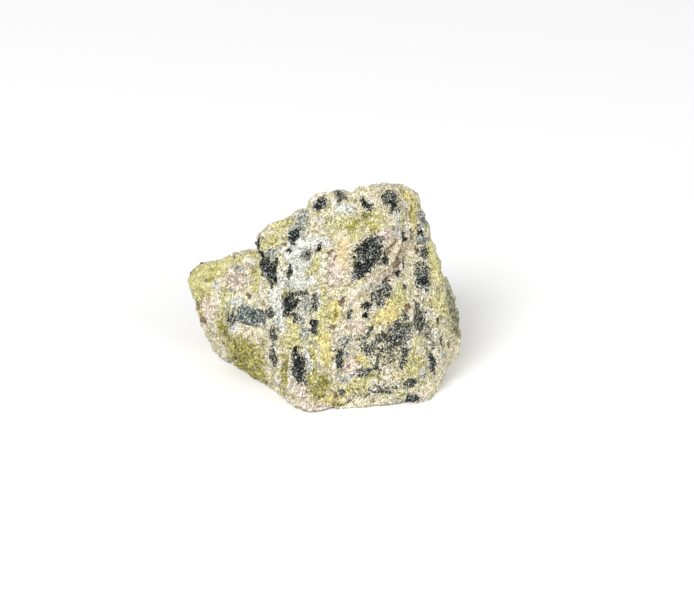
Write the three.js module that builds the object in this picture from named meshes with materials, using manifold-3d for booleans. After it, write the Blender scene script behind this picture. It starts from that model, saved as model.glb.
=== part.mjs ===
// Raw serpentine: one lump of mottled stone, broken on every side and resting on a broken face.
// Millimetres, +Z up, front towards -Y. The origin is on the table, under the middle of the stone.

import * as THREE from "three";
import { ConvexHull } from "three/addons/math/ConvexHull.js";
import { ImprovedNoise } from "three/addons/math/ImprovedNoise.js";
import { mergeVertices } from "three/addons/utils/BufferGeometryUtils.js";
import Module from "manifold-3d";

// Driving dimensions
const STONE_WIDTH = 45; // across, from the left tip to the right flank
const DRAWN_WIDTH = 45; // the width at which every corner and relief size below is written
const FRONT_VIEW_ELEVATION = THREE.MathUtils.degToRad(30); // the front corners are read from this far above
const FRONT_VIEW_HEIGHT = 12; // height of the front view's centre above the table
const EDGE_SHARPNESS = 4; // per mm: how closely two broken faces come to a true edge
const BLOCK_SHARPNESS = 5; // per mm: how sharply two blocks meet in a crevice
const LUMP_SHARPNESS = 2.2; // per mm: how sharply a lump rises out of its face
const ROUNDING_ALLOWANCE = 0.2; // mm that the rounding takes off an edge, given back all over
const BELOW_TABLE = -1.2; // the blocks run on below the resting face, which is cut flat
const FACET_DETAIL = 22; // 20 x (detail + 1)^2 triangles cover the stone

const SIN = Math.sin(FRONT_VIEW_ELEVATION);
const COS = Math.cos(FRONT_VIEW_ELEVATION);
const vec = (x, y, z) => new THREE.Vector3(x, y, z);

// A corner read from the front view: across, up, and towards the viewer.
const seen = (across, up, toward) =>
  vec(across, up * SIN - toward * COS, up * COS + toward * SIN + FRONT_VIEW_HEIGHT);

// A corner that the front view hides, or a corner of the resting face: across, back, and height.
const plan = (across, back, height = BELOW_TABLE) => vec(across, back, height);

// The blocks that the stone broke into, each the hull of its corners
const MAIN_BLOCK = {
  shoulder: seen(-11.5, 11.2, 5.5),
  crestLeft: seen(-5.2, 13.1, 5.2),
  crestMiddle: seen(-1.0, 16.4, 4.0),
  peak: seen(9.0, 18.9, 3.0),
  crestRight: seen(15.6, 18.0, 0.6),
  flankTop: seen(17.9, 11.6, 0.8),
  flankMiddle: seen(18.6, 5.6, 1.5),
  faceRight: seen(20.4, -2.1, 2.6),
  faceRightFoot: seen(20.6, -7.4, 1.0),
  ridgeTop: seen(-1.0, 6.0, 11.0),
  ridgeMiddle: seen(0.2, -5.4, 12.6),
  ridgeLow: seen(-2.6, -15.4, 9.8),
  brow: seen(10.5, 9.5, 8.6),
  cheek: seen(12.0, -4.0, 9.0),
  edgeTop: seen(-10.5, 4.2, 7.2),
  edgeMiddle: seen(-9.0, -1.8, 8.2),
  edgeLow: seen(-8.8, -8.0, 7.2),
  footLeft: plan(-7.4, -10.8),
  footFront: plan(-3.2, -16.8),
  footRight: plan(16.4, -14.2),
  footFlank: plan(19.4, -5.8),
  backCrestLeft: plan(-6.0, 8.0, 21.0),
  backCrest: plan(5.0, 13.5, 24.0),
  backCrestRight: plan(14.0, 12.5, 22.5),
  backLeft: plan(-8.5, 13.0, 11.0),
  back: plan(7.0, 16.5, 13.0),
  backRight: plan(17.5, 11.0, 11.0),
  backFootLeft: plan(-9.0, 12.0),
  backFoot: plan(4.0, 15.0),
  backFootRight: plan(16.0, 10.5),
};

const WING = {
  tipTop: seen(-22.4, 5.2, -3.6),
  tipMiddle: seen(-22.5, 1.0, -4.6),
  tipLow: seen(-21.0, -3.6, -6.4),
  top: seen(-17.4, 6.0, -3.6),
  topInner: seen(-10.5, 8.8, -1.0),
  frontTop: seen(-14.5, 4.6, 0.6),
  frontInner: seen(-9.5, -0.5, 5.2),
  frontBelly: seen(-14.0, -6.5, 1.6),
  footTip: plan(-17.9, 1.8),
  foot: plan(-14.3, -2.6),
  footInner: plan(-7.0, -10.8),
  backTip: plan(-20.3, 11.5, 9.5),
  backTop: plan(-13.0, 13.0, 12.5),
  backFootTip: plan(-17.0, 11.0),
  core: plan(-4.0, 14.0, 12.0),
  coreFoot: plan(-4.0, 13.0),
};

const FLANK = {
  top: seen(17.6, 6.4, -0.4),
  shoulder: seen(20.9, 1.0, -2.4),
  bulge: seen(22.8, -4.6, -4.4),
  bulgeLow: seen(22.6, -8.2, -5.0),
  foot: plan(21.4, 1.0),
  footFront: plan(19.0, -4.0),
  backFoot: plan(19.5, 7.0),
  back: plan(19.5, 8.5, 9.0),
  core: plan(10.0, 2.0, 14.0),
  coreFoot: plan(10.0, 2.0),
};

// Flat chips knocked off the hidden edges of a block: the way each chip faces, and how deep it cuts
const MAIN_CHIPS = [
  { name: "upper right chip", facing: vec(0.4, 0.8, 0.45), depth: 1.8 },
  { name: "upper left chip", facing: vec(-0.45, 0.68, 0.58), depth: 2.0 },
  { name: "right edge chip", facing: vec(0.72, 0.68, 0.08), depth: 1.8 },
  { name: "left edge chip", facing: vec(-0.66, 0.74, 0.1), depth: 1.8 },
  { name: "back foot chip", facing: vec(0.1, 0.88, -0.46), depth: 2.2 },
  { name: "right foot chip", facing: vec(0.62, 0.6, -0.5), depth: 2.0 },
];
const WING_CHIPS = [
  { name: "wing top chip", facing: vec(-0.35, 0.55, 0.75), depth: 1.4 },
  { name: "wing end chip", facing: vec(-0.62, 0.76, 0.2), depth: 1.8 },
  { name: "wing foot chip", facing: vec(-0.6, 0.5, -0.62), depth: 1.6 },
];

// Rounded lumps that stand out of the broken faces: centre, and radii across, up and in depth
const LUMPS = [
  { name: "crest nodule", at: seen(-0.8, 15.1, 4.9), radii: [1.9, 1.5, 1.7] },
  { name: "crest bead", at: seen(2.3, 16.1, 4.5), radii: [1.6, 1.3, 1.5] },
  { name: "peak nodule", at: seen(10.2, 16.4, 4.1), radii: [1.8, 2.0, 1.7] },
  { name: "crest knob", at: seen(13.9, 15.6, 2.0), radii: [1.8, 1.5, 1.7] },
  { name: "wing swell", at: seen(-9.0, 0.8, 3.4), radii: [2.8, 3.4, 2.7] },
  { name: "wing lump", at: seen(-20.2, 2.6, -3.4), radii: [2.2, 2.6, 1.6] },
  { name: "foot lump", at: seen(14.2, -16.0, 4.4), radii: [2.0, 1.6, 1.5] },
];

// Shell-shaped scars where a flake has come away: centre and radius of the ball that fits each
const SCARS = [
  { name: "back scar", at: plan(8.0, 28.5, 22.0), radius: 14.5 },
  { name: "back foot scar", at: plan(-8.0, 26.0, 6.0), radius: 12.0 },
  { name: "back shoulder scar", at: plan(-14.0, 14.0, 27.0), radius: 13.0 },
  { name: "flank scar", at: plan(28.5, 13.0, 18.0), radius: 12.5 },
];
const SCAR_SHARPNESS = 4; // per mm: how sharp the rim of a scar is

// Shallow hollows in the front faces: centre in the front view, half width, half height and depth
const HOLLOWS = [
  { name: "ring hollow", at: [-4.4, -1.0], half: [2.6, 2.4], depth: 0.7 },
  { name: "smooth hollow", at: [1.4, -1.6], half: [1.4, 2.6], depth: 0.6 },
  { name: "pink hollow", at: [2.2, 4.4], half: [1.6, 3.0], depth: 0.6 },
  { name: "crest hollow", at: [5.6, 14.2], half: [2.4, 1.4], depth: 0.5 },
  { name: "chalk hollow", at: [-3.4, 7.2], half: [2.4, 1.6], depth: 0.5 },
  { name: "wing hollow", at: [-14.4, 1.2], half: [2.8, 2.2], depth: 0.5 },
  { name: "foot hollow", at: [4.2, -13.0], half: [2.6, 2.0], depth: 0.6 },
];

// Steps where a layer has split away: the line's two ends in the front view, and the drop on its right-hand side
const LEDGES = [
  { name: "slanting ledge", from: [4.4, -1.2], to: [12.6, 8.6], drop: 1.2, fade: 5.0 },
  { name: "upright ledge", from: [12.8, 2.6], to: [11.8, 14.0], drop: 0.8, fade: 4.0 },
  { name: "lower ledge", from: [3.0, -8.0], to: [10.4, -3.4], drop: 0.4, fade: 4.5 },
  { name: "foot ledge", from: [1.0, -16.8], to: [13.0, -14.9], drop: 0.5, fade: 3.0 },
];
const LEDGE_SOFTNESS = 0.45; // half the width over which a ledge drops
const LEDGE_END = 1.5; // length over which a ledge runs out past its ends

// Unevenness of every broken face, sharp ridges between scooped hollows: wavelength and height
const UNEVENNESS = [
  { wavelength: 13, height: 0.9 },
  { wavelength: 6, height: 0.7 },
  { wavelength: 2.8, height: 0.5 },
];
const USUAL_SWING = 0.25; // how far the noise lies from zero on average
const NOISE_START = 17.3; // sets the unevenness of one wavelength apart from the next

// The least, or with a negative sharpness the greatest, of several distances, blended where they are close
function blend(distances, sharpness) {
  const sum = distances.reduce((total, d) => total + Math.exp(-sharpness * d), 0);
  return -Math.log(sum) / sharpness;
}

// Two hull triangles lie in one face when they point the same way, at the same distance
const SAME_FACING = 0.9995; // cosine of the angle between them
const SAME_DISTANCE = 0.05;

// Distance to a convex block less its chips, with its edges slightly rounded
function blockField({ corners, chips }) {
  const points = Object.values(corners);
  const hull = new ConvexHull().setFromPoints(points);
  const planes = chips.map(({ facing, depth }) => {
    const normal = facing.clone().normalize();
    return { normal, constant: Math.max(...points.map((p) => p.dot(normal))) - depth };
  });
  for (const { normal, constant } of hull.faces) {
    const known = planes.some(
      (p) => p.normal.dot(normal) > SAME_FACING && Math.abs(p.constant - constant) < SAME_DISTANCE,
    );
    if (!known) planes.push({ normal: normal.clone(), constant });
  }
  return (p) => blend(planes.map(({ normal, constant }) => normal.dot(p) - constant), -EDGE_SHARPNESS);
}

// The blocks and lumps grown together
const blocks = [
  { corners: MAIN_BLOCK, chips: MAIN_CHIPS },
  { corners: WING, chips: WING_CHIPS },
  { corners: FLANK, chips: [] },
].map(blockField);
const lumpField = (p, { at, radii }) => {
  const q = vec((p.x - at.x) / radii[0], (p.y - at.y) / radii[2], (p.z - at.z) / radii[1]);
  return (q.length() - 1) * Math.min(...radii);
};
function solidField(p) {
  const body = blend(blocks.map((block) => block(p)), BLOCK_SHARPNESS) - ROUNDING_ALLOWANCE;
  const lumpy = blend([body, ...LUMPS.map((lump) => lumpField(p, lump))], LUMP_SHARPNESS);
  return blend([lumpy, ...SCARS.map(({ at, radius }) => radius - p.distanceTo(at))], -SCAR_SHARPNESS);
}

// Across, up and towards the viewer, the other way round from seen()
function frontView(p) {
  const z = p.z - FRONT_VIEW_HEIGHT;
  return { across: p.x, up: p.y * SIN + z * COS, toward: z * SIN - p.y * COS };
}

const bell = (x) => Math.exp(-x * x);
const HIDDEN_DEPTH = -7; // relief read from the front view ends at this depth
const SHOWN_DEPTH = -1; // and is at its full height from this depth forward
const inView = (toward) => THREE.MathUtils.smoothstep(toward, HIDDEN_DEPTH, SHOWN_DEPTH);

function hollowDepth({ at, half, depth }, { across, up }) {
  const reach = Math.hypot((across - at[0]) / half[0], (up - at[1]) / half[1]);
  return depth * bell(reach);
}

function ledgeDrop({ from, to, drop, fade }, { across, up }) {
  const along = [to[0] - from[0], to[1] - from[1]];
  const length = Math.hypot(...along);
  const [ax, ay] = along.map((x) => x / length);
  const t = (across - from[0]) * ax + (up - from[1]) * ay;
  const side = (across - from[0]) * ay - (up - from[1]) * ax;
  const ends = bell(Math.max(0, -t, t - length) / LEDGE_END);
  const step = THREE.MathUtils.smoothstep(side, -LEDGE_SOFTNESS, LEDGE_SOFTNESS);
  return drop * step * bell(Math.max(0, side) / fade) * ends;
}

const noise = new ImprovedNoise();
function unevenness(p) {
  let height = 0;
  UNEVENNESS.forEach((layer, i) => {
    const q = p.clone().divideScalar(layer.wavelength).addScalar(NOISE_START * (i + 1));
    height += layer.height * (Math.abs(noise.noise(q.x, q.y, q.z)) - USUAL_SWING);
  });
  return height;
}

// Below zero inside the stone
function stoneField(p) {
  const view = frontView(p);
  let relief = unevenness(p);
  const shown = inView(view.toward);
  if (shown > 0) {
    for (const hollow of HOLLOWS) relief += shown * hollowDepth(hollow, view);
    for (const ledge of LEDGES) relief += shown * ledgeDrop(ledge, view);
  }
  return solidField(p) + relief;
}

const PROBE = 0.05; // mm to either side at which the field's slope is measured
function steepest(p) {
  const rise = (dx, dy, dz) =>
    stoneField(vec(p.x + dx, p.y + dy, p.z + dz)) - stoneField(vec(p.x - dx, p.y - dy, p.z - dz));
  return vec(rise(PROBE, 0, 0), rise(0, PROBE, 0), rise(0, 0, PROBE)).divideScalar(2 * PROBE);
}

// Moves a point onto the stone's surface.
const LONGEST_STEP = 0.8;
const LEAST_SLOPE = 0.2; // a flatter field than this doesn't lengthen the step
function settle(p) {
  const slope = steepest(p);
  const step = -stoneField(p) / Math.max(slope.lengthSq(), LEAST_SLOPE);
  p.addScaledVector(slope, THREE.MathUtils.clamp(step, -LONGEST_STEP, LONGEST_STEP));
}

// A sphere of triangles shrunk onto the stone, then evened out along its surface
const HEART = vec(0, 1, 12); // a point that every part of the surface can be reached from
const OUTSIDE = 36; // a reach that clears the stone all round
const MARCH = 0.3; // length of one step inwards
const EVENING_ROUNDS = 30;
const EVENING_SHARE = 0.5; // of the way to the middle of the neighbours, in one round
const SAME_POINT = 1e-5;
function shrinkOntoStone() {
  const sphere = new THREE.IcosahedronGeometry(1, FACET_DETAIL);
  sphere.deleteAttribute("normal");
  sphere.deleteAttribute("uv");
  const geometry = mergeVertices(sphere, SAME_POINT);
  const position = geometry.getAttribute("position");
  const index = geometry.index.array;
  const points = [];
  const neighbours = [];
  for (let i = 0; i < position.count; i++) {
    const direction = vec().fromBufferAttribute(position, i).normalize();
    let reach = OUTSIDE;
    const p = vec();
    do {
      reach -= MARCH;
      p.copy(HEART).addScaledVector(direction, reach);
    } while (reach > MARCH && stoneField(p) > 0);
    points.push(p);
    neighbours.push(new Set());
  }
  for (let i = 0; i < index.length; i += 3) {
    for (let k = 0; k < 3; k++) {
      neighbours[index[i + k]].add(index[i + ((k + 1) % 3)]);
      neighbours[index[i + ((k + 1) % 3)]].add(index[i + k]);
    }
  }
  for (let round = 0; round < EVENING_ROUNDS; round++) {
    const targets = points.map((p, i) => {
      const mean = vec();
      let weights = 0;
      for (const j of neighbours[i]) {
        const weight = p.distanceTo(points[j]); // the farther neighbours pull harder
        mean.addScaledVector(points[j], weight);
        weights += weight;
      }
      return mean.divideScalar(weights);
    });
    points.forEach((p, i) => {
      p.lerp(targets[i], EVENING_SHARE);
      settle(p);
      settle(p);
    });
  }
  points.forEach((p, i) => position.setXYZ(i, p.x, p.y, p.z));
  return geometry;
}

// The resting face: everything below the table is cut away.
const wasm = await Module();
wasm.setup();
function solidOf(geometry) {
  return new wasm.Manifold(
    new wasm.Mesh({
      numProp: 3,
      vertProperties: new Float32Array(geometry.getAttribute("position").array),
      triVerts: new Uint32Array(geometry.index.array),
    }),
  );
}
function cutRestingFace(geometry) {
  const span = 2 * OUTSIDE;
  const box = new THREE.BoxGeometry(span, span, DRAWN_WIDTH);
  box.translate(0, 0, -DRAWN_WIDTH / 2);
  box.deleteAttribute("normal");
  box.deleteAttribute("uv");
  const cut = solidOf(geometry).subtract(solidOf(mergeVertices(box))).getMesh();
  return new THREE.BufferGeometry()
    .setAttribute("position", new THREE.BufferAttribute(cut.vertProperties, 3))
    .setIndex(new THREE.BufferAttribute(cut.triVerts, 1));
}

function buildStone() {
  const geometry = cutRestingFace(shrinkOntoStone());
  geometry.scale(STONE_WIDTH / DRAWN_WIDTH, STONE_WIDTH / DRAWN_WIDTH, STONE_WIDTH / DRAWN_WIDTH);
  geometry.computeBoundingBox();
  const middle = geometry.boundingBox.getCenter(vec());
  geometry.translate(-middle.x, -middle.y, 0);
  geometry.computeVertexNormals();
  const material = new THREE.MeshStandardMaterial({ color: 0xb9b48a, roughness: 0.75, metalness: 0 });
  const stone = new THREE.Mesh(geometry, material);
  stone.name = "stone";
  return stone;
}

const rawSerpentine = new THREE.Group();
rawSerpentine.add(buildStone());

export default rawSerpentine;
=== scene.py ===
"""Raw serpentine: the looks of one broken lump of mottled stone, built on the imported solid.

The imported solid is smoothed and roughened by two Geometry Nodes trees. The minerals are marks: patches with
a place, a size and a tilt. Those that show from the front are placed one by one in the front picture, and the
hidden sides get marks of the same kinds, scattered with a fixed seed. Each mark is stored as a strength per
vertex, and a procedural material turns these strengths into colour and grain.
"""

import math
from typing import NamedTuple

import bmesh
import bpy
import numpy as np
from bpy.props import FloatProperty, FloatVectorProperty, IntProperty, PointerProperty
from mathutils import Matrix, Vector, noise
from mathutils.bvhtree import BVHTree


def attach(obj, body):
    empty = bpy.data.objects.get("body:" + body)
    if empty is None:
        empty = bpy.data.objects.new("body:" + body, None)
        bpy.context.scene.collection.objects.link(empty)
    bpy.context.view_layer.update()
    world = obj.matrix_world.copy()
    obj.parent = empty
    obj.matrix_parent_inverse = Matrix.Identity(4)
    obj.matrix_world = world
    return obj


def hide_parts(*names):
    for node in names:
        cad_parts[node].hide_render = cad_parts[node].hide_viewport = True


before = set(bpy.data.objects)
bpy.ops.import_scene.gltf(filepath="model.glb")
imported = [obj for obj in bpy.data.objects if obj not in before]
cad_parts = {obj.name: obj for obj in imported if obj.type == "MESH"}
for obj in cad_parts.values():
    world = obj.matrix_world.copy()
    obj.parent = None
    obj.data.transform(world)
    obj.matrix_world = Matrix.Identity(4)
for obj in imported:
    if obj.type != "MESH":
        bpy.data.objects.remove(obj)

bl_info = {
    "name": "Raw Serpentine",
    "version": (1, 0, 0),
    "blender": (4, 5, 0),
    "location": "3D View > Sidebar > Serpentine",
    "description": "Builds a lump of raw serpentine on its packed solid, and a pale stage for it",
    "category": "Object",
}

MM = 0.001
PICTURE_WIDTH = 694
PICTURE_HEIGHT = 603
SENSOR_WIDTH = 36.0
CAD_NODE = "stone"


def srgb(red, green, blue):
    """A colour given as it looks on a screen, 0 to 255, as the linear colour that Blender works in, by the
    curve of the sRGB standard."""
    shares = [value / 255 for value in (red, green, blue)]
    return tuple(s / 12.92 if s <= 0.04045 else ((s + 0.055) / 1.055) ** 2.4 for s in shares)


def colour_property(name, description, default):
    return FloatVectorProperty(
        name=name, description=description, default=default, subtype="COLOR", size=3, min=0.0, max=1.0
    )


def length_property(name, description, default):
    return FloatProperty(name=name, description=description, default=default, unit="LENGTH")


def share_property(name, description, default):
    return FloatProperty(
        name=name, description=description, default=default, min=0.0, max=1.0, subtype="FACTOR"
    )


def amount_property(name, description, default):
    return FloatProperty(name=name, description=description, default=default, min=0.0)


# The minerals of the front, as they lie in the front picture, with painted shade in the step crevice, the
# ledge's creases and on the right-hand side strip, and painted highlights on the ledge's edges

class Mark(NamedTuple):
    """A patch of one mineral: its centre, half length and half width in picture points, and its tilt in
    degrees, counter-clockwise from the right. Raised is how far it stands out of the face, in mm."""

    name: str
    mineral: str
    x: float
    y: float
    half_length: float
    half_width: float
    tilt: float
    raised: float = 0.0


DARK_MARKS = (
    Mark("big eye", "dark", 369, 253, 21, 12.5, 66, -0.1),
    Mark("big eye foot", "dark", 361, 269, 12, 9, 50, -0.1),
    Mark("ring eye left", "dark", 290, 305, 12, 8, 82),
    Mark("ring eye top", "cluster", 300, 294, 12, 4.5, -4),
    Mark("ring eye foot", "cluster", 295, 316, 8, 3.2, -15),
    Mark("ring eye right", "cluster", 314, 305, 10, 4.5, 80),
    Mark("low eye", "cluster", 298, 366, 21, 8, 100),
    Mark("low eye heart", "dark", 298.5, 367, 13, 4.5, 100),
    Mark("low eye top", "dark", 295, 351, 6, 4, 95),
    Mark("shoulder eye", "dark", 269, 271, 15, 7.5, 110),
    Mark("shoulder eye rim", "grey", 263, 270, 8, 2, 95),
    Mark("shoulder eye head", "grey", 270, 254, 11, 7, 20),
    Mark("shoulder eye core", "dark", 276, 261, 4, 3, 30),
    Mark("upper left band", "grey", 298, 227, 18, 7.5, 66),
    Mark("upper left core", "dark", 296, 235, 10, 5.5, 64),
    Mark("upper left tip", "grey", 302, 217, 10, 5, 70),
    Mark("crest nodule", "dark", 320, 203, 8.5, 6, 40, 0.35),
    Mark("crest bead", "cluster", 340, 196, 6, 5.2, 0, 0.35),
    Mark("peak nodule", "cluster", 390, 201, 13, 8.5, -58, 0.4),
    Mark("peak nodule heart", "dark", 393, 204, 6, 4, -58),
    Mark("crest dash", "dark", 367, 205, 9, 4.5, -52),
    Mark("blue speckle", "cluster", 306, 255, 6.5, 6, 0),
    Mark("slanting dash", "dark", 319, 250, 6, 3, 60),
    Mark("upright dash", "dark", 290, 272, 7, 2.5, 90),
    Mark("chalk speck", "brown", 285, 245, 4, 2, 0),
    Mark("chalk dot", "dark", 288, 251, 2.5, 2, 0),
    Mark("small lens", "grey", 301, 321, 5, 5, 0),
    Mark("small lens foot", "grey", 306, 332, 8, 5, 60),
    Mark("ring eye sill", "grey", 302, 315, 7, 4, 0),
    Mark("small lens rim", "cluster", 297, 321, 5, 1.8, 90),
    Mark("ridge dash", "dark", 314, 327, 9, 5, 85),
    Mark("step foot", "cluster", 273, 336, 8, 5.5, 90),
    Mark("step streak", "cluster", 273.5, 357, 11, 3, 90),
    Mark("stem", "dark", 339, 360, 11, 5.5, 90),
    Mark("stem heart", "grey", 339, 358, 4, 2, 90),
    Mark("stem left", "cluster", 334, 350, 3, 2, 0),
    Mark("stem right", "grey", 347, 353, 4, 3, 60),
    Mark("mottle above stem", "grey", 345, 341, 8, 4, 10),
    Mark("mottle core", "cluster", 349, 341, 4, 2.5, 0),
    Mark("ledge dot", "cluster", 350, 314, 6, 3, 80),
    Mark("face dot", "dark", 366, 306, 6, 4.5, 20),
    Mark("face dot below", "dark", 366, 316, 4, 3.5, 0),
    Mark("under ledge", "cluster", 382, 294, 12, 8, 42),
    Mark("under ledge top", "cluster", 386, 284, 5.5, 4, 30),
    Mark("under ledge foot", "cluster", 381, 303, 6, 4, 50),
    Mark("fern upper", "cluster", 370, 330, 7, 2, 30),
    Mark("fern lower", "cluster", 366, 336, 6, 1.8, 25),
    Mark("big cluster", "cluster", 398, 336, 21, 12, 52),
    Mark("big cluster tail", "cluster", 392, 350, 4, 3, 70),
    Mark("big cluster left", "cluster", 382, 338, 7, 6, 0),
    Mark("right cluster", "cluster", 420, 323, 15, 7.2, 108),
    Mark("right cluster head", "cluster", 418, 308, 6, 3, 95),
    Mark("lower cluster dot", "cluster", 404, 353, 6, 5, 80),
    Mark("lower cluster foot", "cluster", 402, 364, 7, 4, 70),
    Mark("blue patch", "cluster", 370, 348, 9, 7, 20),
    Mark("blue arc", "cluster", 379, 357, 6, 2.2, 65),
    Mark("blue arc foot", "cluster", 375, 366, 5, 2.5, 60),
    Mark("face foot", "cluster", 364, 372, 9, 6.5, 15),
    Mark("right eye", "cluster", 423, 276, 15, 9, 92),
    Mark("right eye heart", "dark", 423, 280, 8, 5, 92),
    Mark("ledge end", "dark", 384.5, 258, 6.5, 2.5, 80),
    Mark("crack upper", "dark", 403, 238, 7, 2.2, 90),
    Mark("crack lower", "dark", 403, 263, 9, 1.2, 92, -0.2),
    Mark("crack dot", "grey", 396, 230, 4, 3.5, 0),
    # Painted shade: the brown beside the lower crack is the shade under the ledge, sunk a little
    Mark("crack brown", "brown", 397, 265, 6, 3, 45, -0.2),
    Mark("maroon dash", "brown", 412, 236, 7, 2.8, 90),
    Mark("right edge streak", "brown", 411, 208, 8, 1.1, 95),
    Mark("right edge lower streak", "brown", 416, 250, 5, 1.6, 85),
    Mark("facet dot", "dark", 398, 273, 3, 3, 0),
    Mark("facet dot low", "cluster", 404, 286, 4, 3, 60),
    Mark("facet olive dot", "brown", 406, 308, 5, 3.5, 60),
    Mark("facet blue dot", "cluster", 405, 315, 4, 3.5, 0),
    Mark("right grey upper", "grey", 423, 219, 10, 6, 95),
    Mark("right dark dot", "dark", 420, 233, 3, 2.5, 0),
    Mark("right grey middle", "grey", 423, 240, 7, 6, 90),
    Mark("right grey lower", "cluster", 423, 253, 8, 6, 90),
    Mark("lower right eye", "dark", 432, 362, 12, 4, 96),
    Mark("lower right head", "cluster", 433, 345, 4, 3, 90),
    Mark("lower right streak", "cluster", 441, 341, 5, 2.6, 95),
    Mark("lower right edge", "grey", 443, 355, 7, 3, 90),
    Mark("strip dash", "brown", 449, 345, 4, 2, 90),
    Mark("lower right specks", "grey", 423, 372, 7, 5, 60),
    Mark("strip speck", "dark", 437, 319, 3, 2, 90),
    Mark("strip mottle", "grey", 445, 322, 4.5, 4, 0),
    Mark("foot dash", "cluster", 410, 384, 9, 4, 20),
    Mark("foot nodule", "dark", 411, 398, 8, 4.2, 12, 0.15),
    Mark("foot nodule left", "grey", 397, 400, 6, 2.2, 5),
    Mark("foot dot", "dark", 398, 389, 2.2, 2, 0),
    Mark("foot band", "grey", 386, 390, 10, 2.5, 14),
    Mark("foot olive dot", "brown", 335, 395, 4, 2.2, 90),
    Mark("foot mottle", "cluster", 341, 393, 4, 3.5, 0),
    Mark("face foot mottle", "grey", 347, 379, 6, 4, 20),
    Mark("foot rim dot", "dark", 340, 405, 2, 1.6, 0),
    Mark("foot rim dash", "dark", 348, 402, 4, 1.5, 25),
    Mark("wing eye", "teal", 250, 316, 20, 10.5, -8),
    Mark("wing eye left", "teal", 237, 317, 10, 5, -4),
    Mark("wing eye right", "teal", 264, 316, 10, 7.5, -15),
    Mark("wing eye rim", "cluster", 244, 324, 10, 1.6, -18),
    Mark("wing eye end", "cluster", 268, 313, 6, 6, 0),
    Mark("wing eye tail", "cluster", 230, 318, 7, 4, 100),
    Mark("wing brown speck", "brown", 249, 296, 5.5, 3, -25),
    Mark("wing grey speck", "grey", 241, 268, 6, 3, -20),
    Mark("wing grey dot", "grey", 236, 275, 3, 2.5, 0),
    Mark("wing grey low", "grey", 230, 290, 4, 3, 30),
    Mark("wing mauve", "grey", 225, 308, 4, 2, 90),
    Mark("wing tip brown", "brown", 198, 305, 5, 3.5, 90),
    Mark("wing low brown", "brown", 203, 319, 6, 3, 120),
    Mark("wing top mottle", "grey", 217, 285, 4, 2.5, 60),
)

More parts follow.
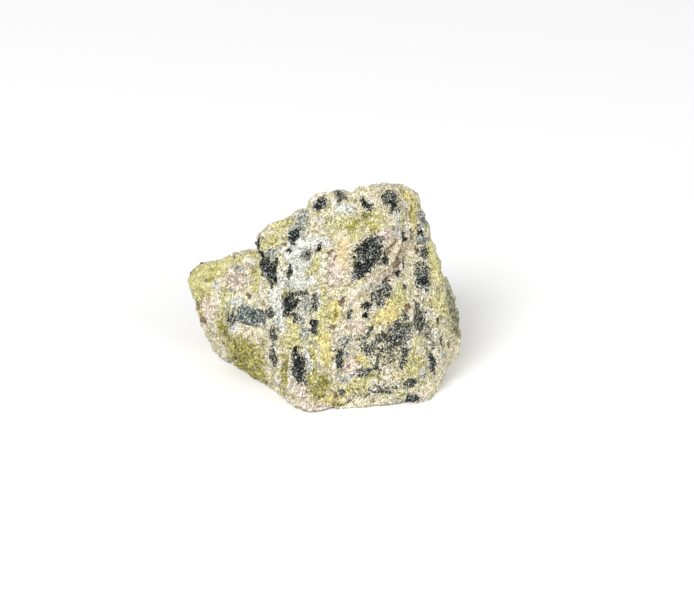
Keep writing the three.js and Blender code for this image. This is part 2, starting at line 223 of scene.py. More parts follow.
PALE_MARKS = (
    Mark("wing belly", "olive", 245, 355, 29, 15, -35),
    Mark("wing edge", "olive", 224, 330, 13, 7, 110),
    Mark("wing top olive", "olive", 211, 280, 7, 2.2, 20),
    Mark("wing foot", "olive", 248, 370, 27, 9, -33),
    Mark("face strip", "olive", 284, 374, 22, 4, 92),
    Mark("face strip upper", "lime", 289, 341, 10, 6, 90),
    Mark("low eye side", "olive", 312, 372, 28, 5, 95),
    Mark("ridge green", "lime", 318, 330, 16, 5, 85),
    Mark("shoulder lime", "lime", 271, 243, 14, 8, 25),
    Mark("upper shoulder lime", "lime", 283, 226, 13, 9, 30),
    Mark("ridge top green", "lime", 319, 264, 9, 7, 0),
    Mark("bevel green", "lime", 350, 227, 20, 13, 10),
    Mark("bevel spots", "lime", 372, 219, 15, 11, 0),
    Mark("bevel olive", "olive", 352, 225, 9, 4, 40),
    Mark("bevel olive right", "olive", 367, 216, 6, 3.5, 30),
    Mark("bevel olive low", "olive", 372, 228, 6, 3, 40),
    Mark("golden heart", "olive", 335, 312, 8, 2.5, 85),
    Mark("right edge gold", "gold", 413, 215, 22, 4, 98),
    Mark("under ledge green", "lime", 396, 300, 19, 9, 70),
    Mark("lower right green", "lime", 415, 362, 22, 12, 75),
    Mark("face foot green", "lime", 366, 373, 15, 6, 90),
    Mark("right rim upper", "lime", 419, 209, 8, 4, 110),
    Mark("right rim lower", "lime", 434, 264, 24, 8, 108),
    Mark("foot brown gold", "olive", 318, 386, 14, 10, 60),
    Mark("wing tip tan", "gold", 199, 310, 8, 4, 105),
    Mark("foot yellow", "gold", 329, 397, 20, 5, 5),
    Mark("foot rim olive", "olive", 341, 403, 11, 3, 5),
    Mark("golden hollow", "gold", 335, 309, 17, 7, 85, -0.1),
    Mark("lime ridge", "lime", 321, 300, 44, 8, 88),
    Mark("shoulder face lime", "lime", 296, 334, 18, 12, 90),
    Mark("face cream", "cream", 364, 304, 16, 7, 60),
    Mark("crack side cream", "cream", 411, 262, 26, 7, 92),
    Mark("wing side lime", "lime", 226, 300, 22, 8, 80),
    Mark("foot lime", "lime", 356, 387, 20, 7, 8),
    Mark("stem side rose", "pink", 352, 368, 16, 9, 60),
    Mark("chalk field", "chalk", 297, 265, 13, 11, 20),
    Mark("face chalk", "chalk", 281, 314, 16, 5, 95),
    Mark("lemon streak", "gold", 326, 350, 20, 7, 95),
    Mark("ochre patch", "gold", 385, 317, 19, 10.5, 35),
    Mark("face yellow", "gold", 360, 358, 7, 4, -30),
    Mark("crest knob", "gold", 409, 198, 9, 5, -10),
    Mark("strip yellow", "lime", 443, 309, 24, 9, 112),
    Mark("foot right cream", "cream", 437, 378, 12, 8, 60),
    Mark("strip foot cream", "cream", 451, 354, 22, 11, 75),
    Mark("wing top patch", "lime", 238, 258, 8, 4, 20),
    Mark("wing step patch", "gold", 253, 252, 6, 4, 70),
    Mark("wing rim", "lime", 199, 283, 28, 14, 95),
    Mark("wing rim top", "lime", 220, 268, 24, 10, 12),
    Mark("step pale lime", "lime", 256, 277, 19, 6, 85),
    Mark("wing cream", "cream", 245, 298, 20, 6.5, 0),
    Mark("wing cream low", "cream", 248, 331, 18, 6, -5),
    Mark("wing pale spot", "chalk", 222, 346, 5, 4, 30),
    Mark("wing eye brow", "chalk", 236, 303, 11, 5, 0),
    Mark("wing pale dash", "chalk", 234, 327, 6, 4, 20),
    Mark("pale blob", "cream", 315, 231, 8, 6, 60),
    Mark("crest cream", "cream", 329, 209, 7, 6, 0),
    Mark("crest edge", "cream", 362, 191, 17, 5, 8),
    Mark("smooth panel", "cream", 357, 293, 15, 9, 45),
    Mark("wing pink", "pink", 209, 309, 12, 10, 60),
    Mark("wing beige", "pink", 236, 277, 14, 12, 0),
    Mark("pink panel", "pink", 336, 270, 23, 12, 72),
    Mark("face pink", "pink", 357, 327, 13, 7, 0),
    Mark("ledge pink", "pink", 391, 258, 25, 9, 60),
    Mark("ridge foot pink", "pink", 303, 395, 10, 5, 100),
    Mark("foot rim pink", "pink", 322, 405, 24, 5, 4),
    Mark("foot rim middle", "cream", 370, 401, 24, 5.5, 5),
    Mark("crest cream right", "cream", 359, 203, 13, 5, 5),
    Mark("foot rim right", "pink", 420, 396, 14, 5, 35),
    Mark("foot corner cream", "cream", 429, 389, 8, 5, 40),
    Mark("lower right cream", "cream", 421, 350, 6, 5, 0),
    Mark("peach band", "peach", 343, 250, 19, 7, 92),
    Mark("foot peach", "peach", 400, 375, 6, 3, 10),
    Mark("chalk patch", "chalk", 299, 248, 20, 14, 80),
    Mark("chalk bridge", "chalk", 322, 243, 13, 6, 15),
    Mark("bevel chalk", "chalk", 344, 208, 12, 6, 0),
    Mark("bevel streak", "cream", 341, 233, 6, 4, 60),
    Mark("ring halo top", "chalk", 298, 283, 22, 7, 2, 0.2),
    Mark("ring halo left", "chalk", 277, 296, 14, 4.5, 84, 0.15),
    Mark("ring halo right", "chalk", 318, 299, 13, 3.2, 90, 0.1),
    Mark("step chalk", "chalk", 274, 308, 26, 4.5, 98, 0.1),
    Mark("low eye halo", "chalk", 308, 360, 14, 3, 100, 0.1),
    Mark("ring heart", "grey", 304, 305, 9, 8, 0),
    # Olive-grey of the right-hand side strip: partly the strip's own skin, partly painted shade of that side,
    # which faces away from the light
    Mark("right strip band", "umber", 448, 299, 22, 6.5, 116),
    Mark("right strip edge", "umber", 456, 323, 16, 7, 97),
    Mark("streak by the pink", "brown", 329, 253, 4, 1.6, 60),
    Mark("streak below", "brown", 334, 257, 3, 1.4, 60),
    Mark("golden edge", "brown", 333, 327, 4, 1.6, 30),
    Mark("panel edge", "brown", 342, 300, 6, 2.6, 60),
    Mark("bevel spot", "brown", 364, 214, 3, 2, 0),
)

LINE_MARKS = (
    Mark("vein under the cluster", "chalk", 365, 338, 24, 1.3, 34, 0.1),
    Mark("ledge line by the eye", "cream", 379, 261, 18, 1.8, 75, 0.25),
    # Painted highlight: the cream line where light catches the ledge's edge, raised a little as well
    Mark("ledge line right", "cream", 386, 262, 20, 1.8, 52, 0.25),
    Mark("ledge line foot", "chalk", 360, 290, 13, 1.2, 47, 0.12),
    Mark("crack line", "chalk", 399, 222, 18, 1.3, 95),
    # Painted shade: the brown crease under the ledge, sunk a little
    Mark("ledge crease", "brown", 384, 268, 9, 1.3, 48, -0.2),
    Mark("ridge line", "chalk", 322, 268, 14, 1.2, 80),
    Mark("foot ledge line", "cluster", 374, 394, 24, 1.2, 9, -0.15),
    Mark("flap plate", "pink", 384, 267, 22, 5, 42, 0.45),
    Mark("flap plate upper", "pink", 386, 236, 11, 6.5, 60, 0.3),
    # Painted shade: the brown wedge, shade and creases among the flaps stand in for the shade in the crevices
    # between the raised plates, which they also sink
    Mark("flap wedge", "brown", 388, 250, 11, 3, 58, -0.35),
    Mark("flap shade", "brown", 395, 263, 8, 4, 40, -0.2),
    Mark("flap crease upper", "brown", 393, 243, 12, 1.6, 58, -0.35),
    Mark("flap crease middle", "brown", 398, 256, 13, 1.8, 60, -0.35),
    Mark("flap crease lower", "brown", 390, 276, 13, 1.8, 42, -0.35),
    # Painted highlight: the cream line where light catches the flaps' top edge, raised a little as well
    Mark("flap edge", "cream", 394, 250, 15, 1.8, 60, 0.35),
    # Painted shade: the dark line along the step at the main block's left edge and the dark grains at its
    # foot stand in for the shade in that crevice; they also sink the surface there
    Mark("step crevice", "dark", 260, 253, 22, 1.7, 96, -0.3),
    Mark("step crevice foot", "cluster", 266, 281, 10, 1.6, 135, -0.3),
)

DAPPLE_MARKS = (
    Mark("lower right face", "dapple", 389, 353, 50, 39, 0),
    Mark("right edge", "dapple", 427, 328, 46, 13, 100),
    Mark("by the stem", "dapple", 346, 348, 24, 22, 0),
    Mark("foot", "dapple", 375, 390, 48, 13, 8),
    Mark("upper right", "dapple", 421, 235, 34, 12, 95),
    Mark("shoulder", "dapple", 272, 266, 24, 15, 60),
    Mark("upper left", "dapple", 298, 226, 20, 10, 60),
    Mark("under the ledge", "dapple", 381, 292, 16, 13, 50),
    Mark("face foot left", "dapple", 320, 396, 22, 10, 0),
    Mark("wing foot", "dapple", 240, 362, 30, 9, -35),
)

SMOOTH_MARKS = (
    Mark("wing skin", "smooth", 205, 280, 26, 20, 0),
    Mark("wing top skin", "smooth", 228, 266, 22, 9, 20),
    Mark("golden skin", "smooth", 335, 310, 18, 9, 85),
    Mark("panel skin", "smooth", 356, 293, 15, 10, 45),
    Mark("lemon skin", "smooth", 326, 350, 18, 7, 95),
    Mark("pink skin", "smooth", 338, 262, 20, 9, 80),
    Mark("right rim skin", "smooth", 431, 245, 40, 7, 104),
    Mark("strip skin", "smooth", 449, 310, 34, 9, 110),
    Mark("strip foot skin", "smooth", 453, 350, 16, 8, 80),
)

FRONT_MARKS = DARK_MARKS + PALE_MARKS + LINE_MARKS + DAPPLE_MARKS + SMOOTH_MARKS


class Scatter(NamedTuple):
    """Marks of one mineral on the sides that the front picture hides: how many to 1000 square mm, and their
    half lengths in mm."""

    mineral: str
    density: float
    shortest: float
    longest: float


HIDDEN_SCATTER = (
    Scatter("dapple", 4, 2.5, 7.0),
    Scatter("dark", 14, 0.5, 2.6),
    Scatter("cluster", 20, 0.4, 2.6),
    Scatter("teal", 3, 1.2, 2.6),
    Scatter("grey", 20, 0.6, 2.2),
    Scatter("brown", 12, 0.4, 1.0),
    Scatter("olive", 10, 1.5, 6.0),
    Scatter("lime", 14, 2.0, 7.5),
    Scatter("gold", 9, 1.0, 3.8),
    Scatter("cream", 9, 1.2, 4.0),
    Scatter("pink", 8, 1.5, 4.5),
    Scatter("peach", 2, 0.8, 2.4),
    Scatter("chalk", 10, 0.8, 3.8),
    Scatter("smooth", 3, 2.0, 5.0),
)


# Settings

class StoneSettings(bpy.types.PropertyGroup):
    """Sizes and colours of the stone."""

    edge_parts: IntProperty(
        name="Edge Parts", description="Parts that each edge is split into", default=4, min=1, max=4
    )
    smooth_rounds: IntProperty(
        name="Smooth Rounds", description="How far flat triangles are smoothed", default=2, min=0, max=20
    )
    lump_height: length_property("Lump Height", "Height of the lumps on broken faces", 0.3 * MM)
    lump_size: length_property("Lump Size", "Distance between lumps", 1.9 * MM)
    grain_height: length_property("Grain Height", "Height of the coarse grain", 0.15 * MM)
    grain_size: length_property("Grain Size", "Distance between coarse grains", 0.8 * MM)
    facet_size: length_property("Facet Size", "Width of the small broken facets", 3.2 * MM)
    facet_tilt: amount_property("Facet Tilt", "How steeply the small facets lean, as a slope", 0.24)
    bump_height: length_property("Bump Height", "Height of the finest grain", 0.1 * MM)
    speck_share: share_property("Specks", "Strength of the dark grains", 0.55)
    salt_share: share_property("Salt", "Strength of the white grains", 0.45)
    vein_share: share_property("Veins", "Strength of the thin white veins", 0.4)
    crack_share: share_property("Cracks", "Strength of the thin dark cracks", 0.6)
    scatter_seed: IntProperty(
        name="Scatter Seed", description="Where the marks of the hidden sides fall", default=7, min=0
    )
    ground_pale: colour_property("Pale Ground", "The stone between its marks", srgb(236, 228, 200))
    ground_lime: colour_property("Lime Ground", "Greenish part of the ground", srgb(206, 200, 148))
    ground_olive: colour_property("Olive Ground", "Darkest part of the ground", srgb(160, 155, 92))
    ground_rose: colour_property("Rose Ground", "Warm part of the ground", srgb(226, 210, 190))
    ground_white: colour_property("White Ground", "Lightest part of the ground", srgb(242, 241, 230))
    speck: colour_property("Speck", "Dark grains between the pale ones", srgb(104, 100, 60))
    # Dark is also laid along the step crevice as painted shade
    dark: colour_property("Dark", "Black-green eyes", srgb(10, 15, 13))
    # Painted glints: sparkle highlights painted into the colour of the black-green eyes, among their pale
    # grains
    dark_glint: colour_property("Dark Glint", "Lighter grains in the eyes", srgb(174, 188, 180))
    # Cluster is also laid at the foot of the step crevice as painted shade
    cluster: colour_property("Cluster", "Dark grains that lie close together", srgb(56, 58, 48))
    # Painted glints: sparkle highlights painted into the colour of the dark clusters, among their pale grains
    cluster_glint: colour_property("Cluster Glint", "Lighter grains between them", srgb(212, 213, 196))
    teal: colour_property("Teal", "Blue-green eyes", srgb(52, 68, 64))
    # Painted glints: sparkle highlights painted into the colour of the blue-green eyes, among their pale
    # grains
    teal_glint: colour_property("Teal Glint", "Lighter grains in the blue-green eyes", srgb(208, 220, 213))
    grey: colour_property("Grey", "Speckled grey patches", srgb(112, 116, 106))
    grey_glint: colour_property("Grey Glint", "Lighter grains of the grey patches", srgb(215, 216, 204))
    # Brown is also laid as painted shade under the ledge and in the creases between the flaps
    brown: colour_property("Brown", "Brown specks", srgb(96, 78, 48))
    brown_glint: colour_property("Brown Glint", "Lighter grains of the brown specks", srgb(160, 136, 88))
    # Umber: grey-olive skin darkened as painted shade; it is laid only on the right-hand side strip
    umber: colour_property("Umber", "Grey-olive skin", srgb(92, 92, 62))
    umber_glint: colour_property("Umber Glint", "Lighter grains of that skin", srgb(166, 163, 124))
    olive: colour_property("Olive", "Olive serpentine", srgb(110, 102, 22))
    olive_glint: colour_property("Olive Glint", "Lighter grains of the olive", srgb(202, 192, 90))
    lime: colour_property("Lime", "Yellow-green serpentine", srgb(182, 174, 98))
    lime_glint: colour_property("Lime Glint", "Lighter grains of the yellow-green", srgb(233, 226, 164))
    gold: colour_property("Gold", "Waxy yellow serpentine", srgb(192, 174, 92))
    gold_glint: colour_property("Gold Glint", "Lighter grains of the yellow", srgb(246, 232, 160))
    # Cream is also laid along the lit edges of the ledge and the flaps as painted highlight
    cream: colour_property("Cream", "Pale waxy patches", srgb(220, 208, 168))
    cream_glint: colour_property("Cream Glint", "Lighter grains of the cream", srgb(250, 242, 214))
    pink: colour_property("Pink", "Pinkish beige patches", srgb(202, 180, 158))
    pink_glint: colour_property("Pink Glint", "Lighter grains of the pink", srgb(252, 238, 222))
    peach: colour_property("Peach", "Warm orange stain", srgb(228, 206, 148))
    peach_glint: colour_property("Peach Glint", "Lighter grains of the stain", srgb(248, 228, 186))
    chalk: colour_property("Chalk", "Chalky white crust", srgb(196, 198, 188))
    chalk_glint: colour_property("Chalk Glint", "Lighter grains of the crust", srgb(250, 250, 242))


class StageSettings(bpy.types.PropertyGroup):
    """The floor, the lights and the camera."""

    floor_size: length_property("Floor Size", "Width of the floor", 3.0)
    floor_colour: colour_property("Floor Colour", "Colour of the floor", (0.96, 0.96, 0.96))
    lens: FloatProperty(name="Lens", description="Focal length in mm", default=150.0, min=1.0)
    distance: length_property("Distance", "From the camera to where it aims", 472.4 * MM)
    elevation: FloatProperty(
        name="Elevation",
        description="How far the camera looks down",
        default=math.radians(30.0),
        subtype="ANGLE",
    )
    aim: FloatVectorProperty(
        name="Aim",
        description="Where the camera aims",
        default=(3.69 * MM, -0.77 * MM, 11.68 * MM),
        subtype="XYZ",
    )
    world_strength: amount_property("Sky", "Strength of the light all round", 0.6)
    key_power: amount_property("Key Power", "Power of the key light in watts", 2.4)
    fill_power: amount_property("Fill Power", "Power of the fill light in watts", 0.85)


# Helpers for node trees

def add_node(tree, kind, inputs=None, **settings):
    """Adds a node. Inputs are keyed by socket name or number, and hold a value or the socket to link from."""
    node = tree.nodes.new(kind)
    for name, value in settings.items():
        setattr(node, name, value)
    for key, value in (inputs or {}).items():
        socket = node.inputs[key]
        if isinstance(value, bpy.types.NodeSocket):
            tree.links.new(value, socket)
        else:
            socket.default_value = value
    return node


def math_node(tree, operation, first, second=0.0, clamp=False):
    node = add_node(tree, "ShaderNodeMath", {0: first, 1: second}, operation=operation, use_clamp=clamp)
    return node.outputs[0]


def weighted(tree, *terms):
    """Sum of values, each times its weight."""
    total = 0.0
    for value, weight in terms:
        total = math_node(tree, "ADD", math_node(tree, "MULTIPLY", value, weight), total)
    return total


def less(tree, value, share):
    """1 less a share of a value."""
    return math_node(tree, "SUBTRACT", 1.0, math_node(tree, "MULTIPLY", value, share))


def smooth_range(tree, value, low, high):
    """0 below low, 1 above high, and a smooth step between them."""
    node = add_node(
        tree,
        "ShaderNodeMapRange",
        {"Value": value, "From Min": low, "From Max": high},
        interpolation_type="SMOOTHSTEP",
    )
    return node.outputs["Result"]


def vector_node(tree, operation, inputs, output=0):
    return add_node(tree, "ShaderNodeVectorMath", inputs, operation=operation).outputs[output]


def mix_colours(tree, share, first, second, blend="MIX"):
    node = tree.nodes.new("ShaderNodeMix")
    node.data_type = "RGBA"
    node.blend_type = blend
    for key, value in (("Factor_Float", share), ("A_Color", first), ("B_Color", second)):
        socket = next(s for s in node.inputs if s.identifier == key)
        if isinstance(value, bpy.types.NodeSocket):
            tree.links.new(value, socket)
        else:
            socket.default_value = value if key == "Factor_Float" else (*value, 1.0)
    return next(s for s in node.outputs if s.identifier == "Result_Color")


# The surface

def new_surface_tree(name, inputs):
    """An empty Geometry Nodes tree with a geometry input, the named inputs, and a geometry output."""
    tree = bpy.data.node_groups.new(name, "GeometryNodeTree")
    tree.interface.new_socket("Geometry", in_out="INPUT", socket_type="NodeSocketGeometry")
    for label, kind in inputs:
        tree.interface.new_socket(label, in_out="INPUT", socket_type=kind)
    tree.interface.new_socket("Geometry", in_out="OUTPUT", socket_type="NodeSocketGeometry")
    return tree, add_node(tree, "NodeGroupInput"), add_node(tree, "NodeGroupOutput")


def finish_surface_tree(tree, geometry, material, group_out):
    real = add_node(tree, "GeometryNodeRealizeInstances", {0: geometry})
    painted = add_node(tree, "GeometryNodeSetMaterial", {"Geometry": real.outputs[0], "Material": material})
    tree.links.new(painted.outputs[0], group_out.inputs[0])


def smoothing_tree(material):
    """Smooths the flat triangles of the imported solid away."""
    tree, given, result = new_surface_tree("Serpentine Smoothing", (("Smooth Rounds", "NodeSocketInt"),))
    position = add_node(tree, "GeometryNodeInputPosition")
    smooth = add_node(
        tree,
        "GeometryNodeBlurAttribute",
        {"Value": position.outputs[0], "Iterations": given.outputs["Smooth Rounds"]},
        data_type="FLOAT_VECTOR",
    )
    smooth_position = next(s for s in smooth.outputs if s.enabled)
    moved = add_node(
        tree,
        "GeometryNodeSetPosition",
        {"Geometry": given.outputs["Geometry"], "Position": smooth_position},
    )
    finish_surface_tree(tree, moved.outputs[0], material, result)
    return tree


RESTING_ZONE = 0.7 * MM  # the relief fades out over this height above the resting face
MIDDLE_OF_NOISE = 0.5
REACH_OF_NOISE = 0.25  # usual farthest distance of a noise from its middle
RELIEF_OCTAVES = {"Lump": 2.0, "Grain": 3.0}
OCTAVE_SHARE = 0.6
SKIN_FROM = 0.0  # strength at which a smooth skin begins
SKIN_TO = 0.5  # and is at its smoothest
SKIN_FLATTENS = 0.7  # share of its relief that a smooth skin loses
MIDDLE_COLOUR = (MIDDLE_OF_NOISE,) * 3


def named_value(tree, name):
    node = add_node(tree, "GeometryNodeInputNamedAttribute", {"Name": name}, data_type="FLOAT")
    return next(s for s in node.outputs if s.enabled)


def facet_height(tree, position, size, tilt):
    """Height of small flat facets: each cell of a Voronoi pattern leans its own way."""
    scaled = vector_node(tree, "SCALE", {0: position, "Scale": math_node(tree, "DIVIDE", 1.0, size)})
    cells = add_node(tree, "ShaderNodeTexVoronoi", {"Vector": scaled, "Scale": 1.0})
    from_middle = vector_node(tree, "SUBTRACT", {0: scaled, 1: cells.outputs["Position"]})
    lean = vector_node(tree, "SUBTRACT", {0: cells.outputs["Color"], 1: MIDDLE_COLOUR})
    rise = vector_node(tree, "DOT_PRODUCT", {0: lean, 1: from_middle}, "Value")
    return math_node(tree, "MULTIPLY", rise, math_node(tree, "MULTIPLY", size, tilt))


def roughening_tree(material):
    """Raises lumps, grain, facets and the marks' own relief, and leaves the resting face flat."""
    labels = ("Lump Height", "Lump Size", "Grain Height", "Grain Size", "Facet Size", "Facet Tilt")
    tree, given, result = new_surface_tree(
        "Serpentine Roughening", [(label, "NodeSocketFloat") for label in labels]
    )
    position = add_node(tree, "GeometryNodeInputPosition").outputs[0]
    normal = add_node(tree, "GeometryNodeInputNormal").outputs[0]
    height = facet_height(tree, position, given.outputs["Facet Size"], given.outputs["Facet Tilt"])
    for label, octaves in RELIEF_OCTAVES.items():
        scale = math_node(tree, "DIVIDE", 1.0, given.outputs[f"{label} Size"])
        texture = add_node(
            tree,
            "ShaderNodeTexNoise",
            {"Vector": position, "Scale": scale, "Detail": octaves, "Roughness": OCTAVE_SHARE},
        )
        swing = math_node(tree, "SUBTRACT", texture.outputs[0], MIDDLE_OF_NOISE)
        full = math_node(tree, "DIVIDE", given.outputs[f"{label} Height"], REACH_OF_NOISE)
        height = math_node(tree, "ADD", height, math_node(tree, "MULTIPLY", swing, full))
    skin = smooth_range(tree, named_value(tree, "smooth"), SKIN_FROM, SKIN_TO)
    height = math_node(tree, "MULTIPLY", height, less(tree, skin, SKIN_FLATTENS))
    height = math_node(tree, "ADD", height, named_value(tree, "relief"))
    level = add_node(tree, "ShaderNodeSeparateXYZ", {0: position}).outputs["Z"]
    height = math_node(tree, "MULTIPLY", height, smooth_range(tree, level, 0.0, RESTING_ZONE))
    offset = vector_node(tree, "SCALE", {0: normal, "Scale": height})
    moved = add_node(
        tree, "GeometryNodeSetPosition", {"Geometry": given.outputs["Geometry"], "Offset": offset}
    )
    finish_surface_tree(tree, moved.outputs[0], material, result)
    return tree


def apply_tree(piece, tree, values):
    """Runs a tree on a piece with the given inputs, and keeps the outcome as the piece's plain mesh."""
    modifier = piece.modifiers.new(tree.name, "NODES")
    modifier.node_group = tree
    for item in tree.interface.items_tree:
        if item.in_out == "INPUT" and item.name in values:
            modifier[item.identifier] = values[item.name]
    depsgraph = bpy.context.evaluated_depsgraph_get()
    made = bpy.data.meshes.new_from_object(piece.evaluated_get(depsgraph))
    piece.modifiers.remove(modifier)
    old = piece.data
    piece.data = made
    bpy.data.meshes.remove(old)


MERGE_WITHIN = 0.001 * MM


def refined_copy(source, name, edge_parts):
    """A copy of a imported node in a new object, with its doubled vertices merged and its triangles split."""
    mesh = source.data.copy()
    mesh.name = name
    work = bmesh.new()
    work.from_mesh(mesh)
    bmesh.ops.remove_doubles(work, verts=work.verts, dist=MERGE_WITHIN)
    bmesh.ops.subdivide_edges(work, edges=work.edges, cuts=edge_parts - 1, use_grid_fill=True)
    work.to_mesh(mesh)
    work.free()
    mesh.materials.clear()
    piece = bpy.data.objects.new(name, mesh)
    bpy.context.scene.collection.objects.link(piece)
    return piece


# The marks on the surface

class FrontView:
    """The camera's place and axes, and the ray through a point of the picture."""

    def __init__(self, stage):
        cos, sin = math.cos(stage.elevation), math.sin(stage.elevation)
        self.back = Vector((0.0, -cos, sin))
        self.right = Vector((1.0, 0.0, 0.0))
        self.up = Vector((0.0, sin, cos))
        self.place = Vector(stage.aim) + self.back * stage.distance
        self.point = SENSOR_WIDTH / stage.lens / PICTURE_WIDTH
        self.distance = stage.distance

    def ray(self, x, y):
        across = (x - PICTURE_WIDTH / 2) * self.point
        up = (PICTURE_HEIGHT / 2 - y) * self.point
        return (self.right * across + self.up * up - self.back).normalized()


class Patch(NamedTuple):
    """A mark on the stone: its mineral, its centre, its axes as rows divided by their half lengths, its
    relief, and whether it lies on a side that the front picture hides."""

    mineral: str
    centre: np.ndarray
    axes: np.ndarray
    relief: float
    hidden: bool


DEPTH_SHARE = 1.3  # how deep a front mark goes into the stone, as a share of its half length


def front_patches(surface, view):
    """The front marks, cast from the camera onto the stone."""
    patches = []
    for mark in FRONT_MARKS:
        hit, _, _, away = surface.ray_cast(view.place, view.ray(mark.x, mark.y))
        if hit is None:
            raise RuntimeError(f"the mark {mark.name} misses the stone")
        to_size = view.point * away
        turn = math.radians(mark.tilt)
        along = view.right * math.cos(turn) + view.up * math.sin(turn)
        across = view.up * math.cos(turn) - view.right * math.sin(turn)
        depth = DEPTH_SHARE * mark.half_length
        halves = (mark.half_length, mark.half_width, depth)
        rows = [np.array(axis) / (half * to_size) for axis, half in zip((along, across, view.back), halves)]
        patches.append(Patch(mark.mineral, np.array(hit), np.array(rows), mark.raised * MM, False))
    return patches


HIDDEN_BELOW = 0.08  # a face counts as hidden when it faces the camera by less than this cosine
LAYERING = Vector((0.35, 0.2, 0.92)).normalized()  # the way in which marks and grain are drawn out
LEAST_SLANT = 0.2  # faces that lie squarer to the layering than this take the direction of the x axis
USUAL_SWING = 0.6  # usual turn of a mark away from the layering, in radians
SMALL_MARKS = 2.2  # a higher power makes small marks commoner
SLIMMEST = 0.35
WIDEST = 0.75
THOUSAND_SQUARE_MM = 1000 * MM * MM


def scattered_axes(normal, random):
    """The directions along and across a scattered mark."""
    layer = LAYERING.cross(normal)
    if layer.length < LEAST_SLANT:
        layer = Vector((1.0, 0.0, 0.0)).cross(normal)
    along = normal.cross(layer.normalized())
    across = normal.cross(along)
    swing = random.normal(0.0, USUAL_SWING)
    turned = along * math.cos(swing) + across * math.sin(swing)
    return turned, normal.cross(turned)


def hidden_patches(points, normals, areas, view, seed):
    """Marks scattered over the sides that face away from the camera, drawn out along the stone's layering."""
    random = np.random.default_rng(seed)
    hidden = np.nonzero(normals @ np.array(view.back) < HIDDEN_BELOW)[0]
    hidden_area = areas[hidden].sum()
    patches = []
    for kind in HIDDEN_SCATTER:
        count = round(kind.density * hidden_area / THOUSAND_SQUARE_MM)
        for index in random.choice(hidden, size=count, p=areas[hidden] / hidden_area):
            normal = Vector(normals[index])
            along, across = scattered_axes(normal, random)
            half = MM * (kind.shortest + (kind.longest - kind.shortest) * random.random() ** SMALL_MARKS)
            slim = half * random.uniform(SLIMMEST, WIDEST)
            rows = [np.array(axis) / size for axis, size in ((along, half), (across, slim), (normal, half))]
            patches.append(Patch(kind.mineral, points[index], np.array(rows), 0.0, True))
    return patches


OUTSIDE_A_MARK = -1.0
FRONT_SHRINKS = 3.0  # how quickly a hidden mark ends where the stone turns to the front
BENDS = ((2.6 * MM, 0.45 * MM), (1.1 * MM, 0.28 * MM))  # widths of the waves, and their heights
BEND_SEED = 6


def bend_places(points):
    """Places shifted by a smooth noise, so that the marks on them lose their even outlines."""
    noise.seed_set(BEND_SEED)
    bent = points.copy()
    for size, shift in BENDS:
        for i, place in enumerate(points):
            bent[i] += shift * np.array(noise.noise_vector(Vector(place) / size))
    return bent


def paint_marks(mesh, patches, view):
    """Stores each mineral as a value per vertex: 1 in the heart of a mark, 0 at its edge, -1 well outside."""
    points = np.empty(len(mesh.vertices) * 3)
    mesh.vertices.foreach_get("co", points)
    points = bend_places(points.reshape(-1, 3))
    normals = np.empty(len(mesh.vertices) * 3)
    mesh.vertices.foreach_get("normal", normals)
    facing = np.maximum(normals.reshape(-1, 3) @ np.array(view.back), 0.0)
    minerals = sorted({patch.mineral for patch in patches})
    fields = {mineral: np.full(len(points), OUTSIDE_A_MARK) for mineral in minerals}
    relief = np.zeros(len(points))
    for patch in patches:
        reach = np.linalg.norm((points - patch.centre) @ patch.axes.T, axis=1)
        if patch.hidden:
            reach += FRONT_SHRINKS * facing
        fields[patch.mineral] = np.maximum(fields[patch.mineral], 1.0 - reach)
        if patch.relief:
            relief += patch.relief * np.exp(-reach * reach)
    for name, values in (*fields.items(), ("relief", relief)):
        attribute = mesh.attributes.new(name, "FLOAT", "POINT")
        attribute.data.foreach_set("value", values.astype(np.float32))


def surface_facts(mesh):
    """Places, normals and areas of a mesh's triangles."""
    count = len(mesh.polygons)
    centres, normals, areas = np.empty(count * 3), np.empty(count * 3), np.empty(count)
    mesh.polygons.foreach_get("center", centres)
    mesh.polygons.foreach_get("normal", normals)
    mesh.polygons.foreach_get("area", areas)
    return centres.reshape(-1, 3), normals.reshape(-1, 3), areas


# The material

class NoiseKind(NamedTuple):
    """A noise: its features to a mm, its octaves, and the share of height that each finer octave keeps."""

    per_mm: float
    octaves: float
    octave_share: float


CLOUDS = NoiseKind(0.55, 3.0, 0.6)
WOBBLE = NoiseKind(1.1, 2.0, 0.5)
COARSE = NoiseKind(1.2, 2.0, 0.6)
FINE = NoiseKind(3.0, 2.0, 0.6)
DUST = NoiseKind(4.4, 1.0, 0.5)
WOBBLE_REACH = 1.1  # mm by which the grain is pulled out of its even pattern
GRAIN_LENGTHENS = 0.45  # share by which the fine grain is drawn out along the layering
NOISE_SPREAD = 0.12  # usual distance of a noise from its middle
TO_MM = 1 / MM


class Grain(NamedTuple):
    """The noises that the stone is made of, each about 0 with a usual swing of 1."""

    cloud: bpy.types.NodeSocket
    crack: bpy.types.NodeSocket
    coarse: bpy.types.NodeSocket
    clumps: bpy.types.NodeSocket
    lumps: bpy.types.NodeSocket
    fine: bpy.types.NodeSocket
    light: bpy.types.NodeSocket
    glint: bpy.types.NodeSocket
    speck: bpy.types.NodeSocket
    salt: bpy.types.NodeSocket
    dust: bpy.types.NodeSocket


def noise_colour(tree, kind, place):
    inputs = {"Vector": place, "Scale": kind.per_mm, "Detail": kind.octaves, "Roughness": kind.octave_share}
    return add_node(tree, "ShaderNodeTexNoise", inputs).outputs["Color"]


def swings(tree, kind, place):
    """Three unlike noises of one kind, each about 0 with a usual swing of 1."""
    split = add_node(tree, "ShaderNodeSeparateColor", {0: noise_colour(tree, kind, place)})
    from_middle = [math_node(tree, "SUBTRACT", out, MIDDLE_OF_NOISE) for out in split.outputs]
    return [math_node(tree, "DIVIDE", value, NOISE_SPREAD) for value in from_middle]


